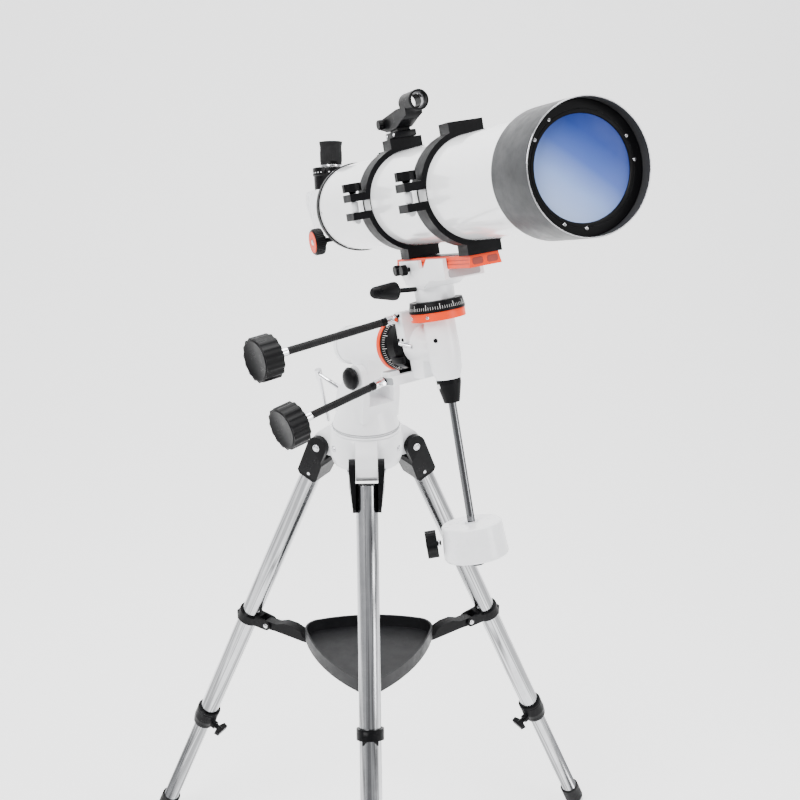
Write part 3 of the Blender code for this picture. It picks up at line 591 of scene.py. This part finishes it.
def build_tube_trim():
    """The grooved shoe on the tube's top, the rear cell's ring and the tube's small screws."""
    shoe = bmesh.new()
    box(shoe, (-116, -11, 69.2), (-70, 11, 73), TUBE, 1.5)
    for index in range(8):
        start = -112 + 5.2 * index
        box(shoe, (start, -9, 73), (start + 2.6, 9, 75.5), TUBE, 0.4)
    piece("tube_shoe", shoe, "optics", LOOKS["black_plastic"], bevel=0.3)
    screws = bmesh.new()
    for angle in range(30, 390, 60):
        place = TUBE @ turn(angle, "X") @ at(TUBE_BACK + 12, 0, TUBE_RADIUS)
        lathe(screws, [(0, 1.0), (2.2, 0.8), (3, 0.2), (3, -0.2)], place, 16)
    piece("rear_cell_screws", screws, "optics", SCREW_STEEL)
    band = bmesh.new()
    start = TUBE_BACK - 0.5
    rows = [(70.1, start), (71.8, start + 0.4), (72.0, start + 5), (70.1, start + 5.6)]
    lathe(band, rows, ALONG_TUBE, FINE, True)
    piece("rear_band", band, "optics", LOOKS["black_casting"])


# ---------------------------------------------------------------- tube rings, bar and finder

RING_PLACES = {"front": 181.5, "rear": -31.0}
RING_HALF = 16.0
BAR_TOP = -88.3
BAR_BOTTOM = -104.5
BAR_FRONT = 193.0
BAR_BACK = -75.0
BAR_HALF = 24.0


def build_ring_trim():
    steel = bmesh.new()
    bolts = bmesh.new()
    holes = bmesh.new()
    felt = bmesh.new()
    for place in RING_PLACES.values():
        for side in (-1, 1):
            pin = TUBE @ at(place + side * (RING_HALF + 0.1), 79.5, 0) @ aim((side, 0, 0))
            lathe(steel, [(0, 1.4), (2.6, 1.2), (3.4, 0.2), (3.4, -0.5)], pin, 20)
            edge = TUBE @ at(place + side * (RING_HALF - 0.6)) @ X_AXIS
            rows = [(70.05, -0.5), (70.05, 0.55), (71.2, 0.7), (71.2, -0.5)]
            lathe(felt, rows, edge, 96, True)
        bolt = TUBE @ at(place, -90, 0)
        shank = [(0, -20), (3.4, -20), (3.4, -7.5), (5.2, -7), (5.2, 7), (3.3, 7.6), (0, 7.6)]
        lathe(bolts, shank, bolt, 20)
        eye = bolt @ at(0, 0, -20) @ X_AXIS
        lathe(bolts, [(0, 5), (5, 4.6), (5.6, 0), (5, -4.6), (0, -5)], eye, 20)
    # Black discs on the ring's platform: painted shade in its holes.
    for offset in (-9, 9):
        hole = TUBE @ at(RING_PLACES["front"], offset, 88)
        lathe(holes, [(0, -0.1), (2.6, -0.1), (3.2, 0.12), (3.6, 0.12), (3.8, 0)], hole, 24)
    piece("ring_pins", steel, "carrier", SCREW_STEEL)
    piece("ring_swing_bolts", bolts, "carrier", LOOKS["white_enamel"])
    piece("ring_platform_holes", holes, "carrier", FLAT_BLACK_AND_SHADE)
    piece("ring_felt", felt, "carrier", LOOKS["rubber"])


def build_bar_trim():
    strip = bmesh.new()
    box(strip, (BAR_BACK + 2, -13, BAR_TOP - 0.1), (BAR_FRONT - 1, 13, BAR_TOP + 0.9), TUBE, 0.6)
    piece("bar_strip", strip, "carrier", LOOKS["black_plastic"])
    # Dark red sheets on the bar's end: painted shade in its pockets.
    pockets = bmesh.new()
    for side in (-1, 1):
        low = (min(side * 3, side * 19), BAR_BOTTOM + 3.5, -0.2)
        high = (max(side * 3, side * 19), BAR_TOP - 3.5, 0.25)
        box(pockets, low, high, TUBE @ at(BAR_FRONT) @ axes((0, 0, 0), (0, 1, 0), (1, 0, 0)), 2)
    piece("bar_pockets", pockets, "carrier", POCKET_SHADE_RED)
    # Dark red strips along the bar's sides: painted shade in its grooves.
    grooves = bmesh.new()
    lean = math.degrees(math.atan2(3.0, BAR_TOP - BAR_BOTTOM))
    for side in (-1, 1):
        for level in (5.5, 10.5):
            middle = BAR_HALF - 3 * level / (BAR_TOP - BAR_BOTTOM)
            centre = at((BAR_FRONT + BAR_BACK) / 2, side * middle, BAR_BOTTOM + level)
            place = TUBE @ centre @ turn(side * lean, "X")
            box(grooves, (-133, -0.25, -0.4), (133, 0.25, 0.4), place, 0.1)
    piece("bar_grooves", grooves, "carrier", POCKET_SHADE_RED)


def build_finder_trim():
    place = TUBE @ at(RING_PLACES["rear"])
    ring = bmesh.new()
    window = place @ at(0, 0, 133.3) @ X_AXIS
    lathe(ring, [(10.2, 78), (12.1, 78.4), (12.1, 70), (10.6, 70)], window, 40, True)
    piece("finder_lens_ring", ring, "carrier", LENS_RING)
    rim = bmesh.new()
    rows = [(12.2, 88.4), (14.2, 88.4), (14.9, 87), (14.9, 84), (14.4, 83.4), (12.2, 83.4)]
    lathe(rim, rows, window, 48, True)
    piece("finder_rim", rim, "carrier", LOOKS["black_casting"])
    ribs = bmesh.new()
    for centre in (at(-30, -12, 113.3) @ Y_DOWN, at(-44, 0, 112.3) @ aim((-1, 0, 0))):
        prism(ribs, lobed(7.5, 0.7, 18, 4), 3, 9.4, place @ centre)
    piece("finder_knob_ribs", ribs, "carrier", LOOKS["black_plastic"])
    screws = bmesh.new()
    for along in (-14, 14):
        lathe(screws, [(0, 1.2), (2.2, 1), (3, 0.1)], place @ at(along, -17, 93.5) @ Y_DOWN, 16)
    piece("finder_screws", screws, "carrier", SCREW_STEEL)


# ---------------------------------------------------------------- focuser, diagonal and eyepiece


def build_focuser_trim():
    knob = JOINTS["focus_knob_turn"]
    axis = axes(knob["pos_m"], JOINTS["tube_turn"]["axis"], knob["axis"])
    faces = bmesh.new()
    ribs = bmesh.new()
    hubs = bmesh.new()
    for flip in (Matrix(), turn(180, "X")):
        place = axis @ flip
        rows = [(6, 67.1), (6.4, 67.7), (17.6, 67.7), (18.2, 67.1), (18.2, 66.9), (6, 66.9)]
        lathe(faces, rows, place, 48, True)
        prism(ribs, lobed(22.5, 0.7, 40, 4), 53, 64.4, place)
        lathe(hubs, [(0, 68.2), (4.4, 68.0), (5.4, 67.2), (5.4, 66.9)], place, 32)
    piece("focus_knob_faces", faces, "focus_knob", LOOKS["orange_anodised"])
    piece("focus_knob_ribs", ribs, "focus_knob", LOOKS["black_plastic"])
    piece("focus_knob_hubs", hubs, "focus_knob", SCREW_STEEL)
    screws = bmesh.new()
    for x in (-343, -323):
        for y in (-13, 13):
            lathe(screws, [(0, -61.4), (2, -61.2), (2.6, -60.4), (2.6, -59.8)], TUBE @ at(x, y, 0), 16)
    piece("pinion_screws", screws, "optics", SCREW_STEEL)


def build_eyepiece_trim():
    lift = JOINTS["eyepiece_slide"]["axis"]
    diagonal = axes(JOINTS["tube_turn"]["pos_m"], JOINTS["tube_turn"]["axis"], lift)
    place = diagonal @ at(-403)
    chrome = bmesh.new()
    lathe(chrome, [(18.55, 77), (18.9, 77.3), (18.9, 79.7), (18.55, 80)], place, 64)
    piece("eyepiece_band", chrome, "eyepiece", LOOKS["chrome"])
    ribs = bmesh.new()
    prism(ribs, lobed(19.2, 0.6, 36, 4), 86, 104, place)
    piece("eyepiece_grip", ribs, "eyepiece", LOOKS["rubber"])
    # The eyepiece's top glass takes the objective's coating, with its painted reflection.
    top = bmesh.new()
    lathe(top, [(0, 114.3), (9, 114.6), (10.6, 115.2), (10.9, 114.2)], place, 48)
    piece("eyepiece_glass", top, "eyepiece", LOOKS["coated_glass"])
    screws = bmesh.new()
    for angle in (200, 320):
        stem = place @ turn(angle, "Z") @ at(30, 0, 68) @ aim((1, 0, 0))
        lathe(screws, [(0, 9), (3.4, 8.8), (3.8, 8.2), (3.8, 4.2), (1.6, 3.6), (1.6, -0.5)], stem, 20)
    piece("diagonal_screws", screws, "diagonal", LOOKS["black_plastic"])
    barrel = bmesh.new()
    sleeve = [(29.2, 37.4), (29.5, 37.4), (30.5, 60), (32.4, 62.2), (32.4, 65), (31.9, 65.6), (31.9, 67)]
    sleeve += [(32.4, 67.6), (32.4, 74), (31.6, 75.2), (17.2, 75.2), (17.2, 74.9), (29.2, 74.9)]
    lathe(barrel, sleeve, place, 64, True)
    piece("diagonal_barrel_sleeve", barrel, "diagonal", LOOKS["black_plastic"])
    plate = bmesh.new()
    outline = [(-35, -28), (33, -28), (36, -25), (36, 25), (33, 28), (-35, 28)]
    prism(plate, outline, 0, 0.9, diagonal @ at(-353.3) @ axes((0, 0, 0), (0, 0, 1), (1, 0, 0)))
    piece("diagonal_front_plate", plate, "diagonal", LOOKS["black_plastic"])


# ---------------------------------------------------------------- mount


def ticks(name, body, radii, heights, place, count, every):
    """Fine lines on a cone between two heights, each so-many-th one full length."""
    mesh = bmesh.new()
    (low_radius, high_radius), (low, high) = radii, heights
    for index in range(count):
        share = 1.0 if index % every == 0 else 0.55
        half = 0.32 if index % every == 0 else 0.2
        top_radius = low_radius + (high_radius - low_radius) * share
        top = low + (high - low) * share
        turned_place = place @ turn(360 * index / count, "Z")
        corners = [(low_radius, -half, low), (low_radius, half, low)]
        corners += [(top_radius, half, top), (top_radius, -half, top)]
        outer = [mesh.verts.new(turned_place @ (Vector((x + 0.12, y, z)) * MM)) for x, y, z in corners]
        inner = [mesh.verts.new(turned_place @ (Vector((x - 0.2, y, z)) * MM)) for x, y, z in corners]
        mesh.faces.new(outer)
        mesh.faces.new(inner[::-1])
        for side in range(4):
            after = (side + 1) % 4
            mesh.faces.new((outer[side], inner[side], inner[after], outer[after]))
    piece(name, mesh, body, MARKING)


def build_circles():
    ticks("ra_circle_lines", "ra_circle", (40.6, 37.3), (-101.4, -93.9), MOUNT @ X_AXIS, 72, 6)
    ticks("dec_circle_lines", "dec_circle", (41.8, 40.2), (55, 63), MOUNT, 72, 6)
    pointer = bmesh.new()
    for angle in (200, 250, 300):
        place = MOUNT @ turn(angle, "Z") @ at(41, 0, 44.2) @ aim((1, 0, 0))
        lathe(pointer, [(0, 1), (2.2, 0.8), (2.8, 0), (2.8, -0.5)], place, 16)
        place = MOUNT @ turn(angle, "X") @ at(-111, 0, 42)
        lathe(pointer, [(0, 1), (2.2, 0.8), (2.8, 0), (2.8, -0.5)], place, 16)
    piece("circle_screws", pointer, "ra_body", SCREW_STEEL)


def control_place(name):
    joint = JOINTS[name + "_turn"]
    return axes(joint["pos_m"], JOINTS["ra_turn"]["axis"], joint["axis"])


SLEEVE_PITCH = 3.4


def build_control_trim(name, reach):
    """A ribbed sleeve on the cable, its chrome coupling with a thumb screw, and the grip's ends."""
    place = control_place(name)
    sleeve = bmesh.new()
    profile = []
    for index in range(int((reach - 44) / SLEEVE_PITCH)):
        start = 29 + SLEEVE_PITCH * index
        profile += [(5.35, start), (5.8, start + 0.7), (5.9, start + 1.4)]
        profile += [(5.8, start + 2.1), (5.35, start + 2.8)]
    lathe(sleeve, profile, place, 28)
    piece(name + "_sleeve", sleeve, name, LOOKS["rubber"], smooth=60)
    coupling = bmesh.new()
    collar = [(6.2, 3), (7.2, 3.4), (7.2, 7), (6.7, 7.4), (6.7, 12), (7.2, 12.4), (7.2, 19), (6.2, 19.6)]
    lathe(coupling, collar, place, 32)
    ferrule = [(5.35, reach - 24), (6.3, reach - 23.6), (6.3, reach - 14), (5.35, reach - 13.5)]
    lathe(coupling, ferrule, place, 32)
    screw = place @ at(0, 0, 10) @ X_AXIS
    lathe(coupling, [(2, 6), (2, 9), (3.6, 9.4), (3.6, 13.6), (3.2, 14), (0, 14)], screw, 20)
    piece(name + "_coupling", coupling, name, LOOKS["chrome"])
    ends = bmesh.new()
    face = [(0, reach + 28.7), (26, reach + 28.7), (27.2, reach + 29.4)]
    face += [(29, reach + 29.4), (30, reach + 28.4)]
    lathe(ends, face, place, 64)
    nose = [(9, reach - 13.2), (9.6, reach - 12), (9.6, reach - 8), (11.5, reach - 4), (12.6, reach - 0.4)]
    lathe(ends, nose, place, 40)
    piece(name + "_grip_ends", ends, name, LOOKS["black_plastic"])


def build_mount_trim():
    worm = bmesh.new()
    barrel = [(0, -21), (9.5, -21), (10.5, -20), (10.5, 34), (9.5, 35), (0, 35)]
    lathe(worm, barrel, MOUNT @ at(-78, -6, -45) @ Y_DOWN, 40)
    piece("ra_worm_barrel", worm, "ra_body", LOOKS["black_casting"])
    cover = bmesh.new()
    box(cover, (-86, -58, 0.0), (-70, -40, 1.2), MOUNT @ at(0, 0, -33), 2)
    box(cover, (-85, -52, 0), (-58, -41, 1.2), MOUNT @ at(0, -60, 0) @ Y_DOWN, 2)
    piece("worm_plates", cover, "ra_body", GREY)
    stud = bmesh.new()
    profile = [(0, 5.6)]
    for index in range(22):
        height = 5 - 1.5 * index
        profile += [(2.6, height), (3.1, height - 0.75)]
    lathe(stud, profile, MOUNT @ at(-63, -30, 5) @ aim((-0.99, 0, 0.15)), 20)
    piece("ra_stud", stud, "ra_body", LOOKS["chrome"])
    screws = bmesh.new()
    for x, z in ((-57, 13), (-47, 13), (-57, 50), (-47, 50)):
        lathe(screws, [(0, 1.4), (2.2, 1.2), (2.9, 0)], MOUNT @ at(x, -38, z) @ Y_DOWN, 16)
    for angle in (215, 300):
        place = MOUNT @ turn(angle, "Z") @ at(24.6, 0, 8) @ aim((1, 0, 0))
        lathe(screws, [(0, 2), (2.6, 1.8), (3.3, 0.6), (3.3, -1)], place, 18)
    piece("housing_screws", screws, "ra_body", LOOKS["black_plastic"])
    collar_screw = bmesh.new()
    place = MOUNT @ turn(-100, "Z") @ at(17.6, 0, -62) @ aim((1, 0, 0.25))
    lathe(collar_screw, [(0, 2.2), (2.8, 2), (3.8, 1), (3.8, -2)], place, 20)
    piece("collar_screw", collar_screw, "ra_body", LOOKS["white_enamel"])
    hardware = bmesh.new()
    for z in (141, 151):
        place = AZIMUTH @ at(24, 36, z)
        lathe(hardware, [(0, 1.6), (3, 1.4), (4, 0)], place @ aim((0, 1, 0)), 18)
    lathe(hardware, [(0, 6), (5.6, 6), (6.6, 5), (6.6, 0)], AZIMUTH @ at(24, 36, 146) @ aim((0, 1, 0)), 6)
    piece("cheek_bolts", hardware, "azimuth", SCREW_STEEL)
    hole = bmesh.new()
    rows = [(4.4, 0.1), (4.6, 0.9), (9, 0.9), (9.6, 0.1)]
    lathe(hole, rows, AZIMUTH @ at(-66, 0, 89) @ aim((-1, 0, 0.1)), 28)
    piece("bolt_bushing", hole, "azimuth", FLAT_BLACK_AND_SHADE)
    seam = bmesh.new()
    lathe(seam, [(53.9, 48.4), (56.3, 49.4), (56.3, 50.6), (53.9, 51.4)], AZIMUTH, 96)
    piece("azimuth_seam", seam, "azimuth", GREY)


def build_saddle_trim():
    low = 219.0 + BAR_BOTTOM
    screws = bmesh.new()
    for x in (-34, -8):
        place = DEC @ at(x, -30, low + 2) @ Y_DOWN
        lathe(screws, [(3.4, -0.5), (3.4, 5), (7.4, 5.4), (8, 6), (8, 13), (7.4, 14), (0, 14)], place, 28)
    piece("saddle_screws", screws, "dec_body", LOOKS["black_plastic"])
    plate = bmesh.new()
    place = DEC @ at(119) @ axes((0, 0, 0), (0, 1, 0), (1, 0, 0))
    box(plate, (-24, low - 13, 0), (24, low - 1.5, 1.4), place, 2)
    piece("saddle_plate", plate, "dec_body", GREY)


def build_weight_trim():
    trim = bmesh.new()
    lathe(trim, [(6.3, -276.6), (10, -276.6), (10.6, -275.8), (10.6, -274), (6.4, -274)], MOUNT, 6)
    piece("weight_bushing", trim, "weight", LOOKS["chrome"])
    knob = JOINTS["weight_knob_turn"]
    place = axes(knob["pos_m"], DEC_AXIS, knob["axis"])
    ring = bmesh.new()
    lathe(ring, [(4.1, 2), (5.6, 2.3), (5.6, 4.7), (4.1, 5)], place, 32)
    lathe(ring, [(0, 23.9), (5, 23.8), (6.4, 23.2), (6.6, 22.9)], place, 32)
    piece("weight_knob_trim", ring, "weight_knob", LOOKS["chrome"])
    end = bmesh.new()
    lathe(end, [(9.1, -338), (9.5, -338.6), (9.5, -341.8), (9.1, -342.4)], MOUNT, 40)
    piece("bar_end_band", end, "ra_body", LOOKS["black_plastic"])


# ---------------------------------------------------------------- tripod

EAR_OUTSIDE = 29.0
BRACE_HALF = 13.0


def build_leg_trim(leg):
    place = leg_place(leg)
    level = axes(JOINTS["brace_pin_" + leg]["pos_m"], (0, 0, 1), JOINTS["fold_" + leg]["axis"])
    bolts = bmesh.new()
    for side in (-1, 1):
        head = place @ at(0, side * EAR_OUTSIDE, 0) @ aim((0, side, 0))
        lathe(bolts, [(0, 2.6), (3.6, 2.2), (4.8, 1.2), (5.0, 0.6), (6.2, 0.6), (6.2, -0.2)], head, 32)
        rivet = level @ at(0, 0, side * BRACE_HALF) @ aim((0, 0, side))
        lathe(bolts, [(0, 2.2), (2.8, 1.9), (4.4, 0.8), (4.8, -0.2)], rivet, 24)
        low = place @ at(-4, side * EAR_OUTSIDE * 0.8, -56) @ aim((0, side, 0))
        lathe(bolts, [(0, 1.8), (2.6, 1.6), (3.6, 0.6), (3.6, -0.2)], low, 20)
    piece(f"leg_bolts_{leg}", bolts, "leg_" + leg, SCREW_STEEL)
    plug = bmesh.new()
    lathe(plug, [(0, -21.6), (12, -21.8), (15, -22.6), (16.6, -24.1), (16, -26)], place, 40)
    piece(f"leg_plug_{leg}", plug, "leg_" + leg, LOOKS["black_plastic"])
    rings = bmesh.new()
    for level_at in (-683, -688, -715):
        radius = 22.3 if level_at > -700 else 21.2
        profile = [(radius - 0.6, level_at + 1.6), (radius, level_at + 1), (radius, level_at - 1)]
        lathe(rings, profile + [(radius - 0.6, level_at - 1.6)], place, 40)
    piece(f"collar_lines_{leg}", rings, "leg_" + leg, LOOKS["black_plastic"])
    boot = bmesh.new()
    profile = [(14.6, -954), (18.5, -955), (18.6, -990)]
    lathe(boot, profile, place, 40)
    piece(f"foot_boot_{leg}", boot, "lower_leg_" + leg, LOOKS["rubber"])


def build_hub_trim():
    spots = bmesh.new()
    hub = axes(JOINTS["azimuth_turn"]["pos_m"], (1, 0, 0), (0, 0, 1))
    for angle in (-30, 90, 210):
        place = hub @ turn(angle, "Z") @ at(61, 0, 18) @ aim((1, 0, 0))
        lathe(spots, [(0, 3), (4, 2.7), (5.4, 1.2), (5.4, -1)], place, 24)
    piece("hub_screws", spots, "hub", SCREW_STEEL)
    lip = bmesh.new()
    lathe(lip, [(56.5, 42.4), (57.6, 43.0), (57.3, 44.2), (55, 45.6)], hub, 96)
    piece("hub_lip", lip, "hub", LOOKS["white_enamel"])


build_tube()
build_objective()
build_tube_trim()
build_ring_trim()
build_bar_trim()
build_finder_trim()
build_focuser_trim()
build_eyepiece_trim()
build_circles()
build_control_trim("ra_control", 163.0)
build_control_trim("dec_control", 219.0)
build_mount_trim()
build_saddle_trim()
build_weight_trim()
for leg_name in LEGS:
    build_leg_trim(leg_name)
build_hub_trim()


# ---------------------------------------------------------------- floor, light and camera

CAMERA_PLACE = (0.0, -1.8668, 1.7944)
CAMERA_RIGHT = (0.9996, -0.0295, -0.0036)
CAMERA_FORWARD = (0.0262, 0.9325, -0.3603)
CAMERA_LENS = 58.94
FLOOR_HALF = 6.0
SWEEP_RADIUS = 2.0
PAPER_GLOW = 0.7


def build_stage():
    """A floor that curves up into a backdrop, in metres."""
    mesh = bmesh.new()
    profile = [(-6.0, 0.0), (1.5, 0.0)]
    for step in range(1, 17):
        angle = math.pi / 2 * step / 16
        profile.append((1.5 + SWEEP_RADIUS * math.sin(angle), SWEEP_RADIUS * (1 - math.cos(angle))))
    profile.append((1.5 + SWEEP_RADIUS, 7.0))
    left = [mesh.verts.new((-FLOOR_HALF, y, z)) for y, z in profile]
    right = [mesh.verts.new((FLOOR_HALF, y, z)) for y, z in profile]
    for index in range(len(profile) - 1):
        mesh.faces.new((left[index], right[index], right[index + 1], left[index + 1]))
    data = bpy.data.meshes.new("studio_floor")
    mesh.to_mesh(data)
    mesh.free()
    data.shade_smooth()
    floor = bpy.data.objects.new("studio_floor", data)
    bpy.context.scene.collection.objects.link(floor)
    paper = finish("studio_paper", (0.93, 0.93, 0.93), 0.8, variation=0.005, grain=(300.0, 0.02))
    paper.node_tree.nodes["Principled BSDF"].inputs["Emission Color"].default_value = (1.0, 1.0, 1.0, 1.0)
    paper.node_tree.nodes["Principled BSDF"].inputs["Emission Strength"].default_value = PAPER_GLOW
    data.materials.append(paper)


def add_light(name, place, target, size, power):
    data = bpy.data.lights.new(name, "AREA")
    data.shape = "RECTANGLE"
    data.size, data.size_y = size
    data.energy = power
    light = bpy.data.objects.new(name, data)
    bpy.context.scene.collection.objects.link(light)
    away = Vector(place) - Vector(target)
    light.matrix_world = Matrix.Translation(place) @ away.to_track_quat("Z", "Y").to_matrix().to_4x4()


def build_light():
    world = bpy.data.worlds.new("studio")
    world.use_nodes = True
    world.node_tree.nodes["Background"].inputs["Color"].default_value = (0.97, 0.98, 1.0, 1.0)
    world.node_tree.nodes["Background"].inputs["Strength"].default_value = 0.65
    bpy.context.scene.world = world
    middle = (0.05, 0.0, 1.15)
    add_light("key", (-1.6, -1.6, 2.9), middle, (1.8, 1.4), 120)
    add_light("side", (2.3, -1.2, 1.7), middle, (0.9, 2.0), 40)
    add_light("top", (0.2, 0.5, 3.2), middle, (2.6, 2.0), 140)


def build_camera():
    data = bpy.data.cameras.new("photo_view")
    data.lens = CAMERA_LENS
    camera = bpy.data.objects.new("photo_view", data)
    bpy.context.scene.collection.objects.link(camera)
    forward = Vector(CAMERA_FORWARD).normalized()
    right = Vector(CAMERA_RIGHT)
    right = (right - forward * right.dot(forward)).normalized()
    turned_to = Matrix((right, right.cross(forward), -forward)).transposed().to_4x4()
    camera.matrix_world = Matrix.Translation(CAMERA_PLACE) @ turned_to
    bpy.context.scene.camera = camera


build_stage()
build_light()
build_camera()
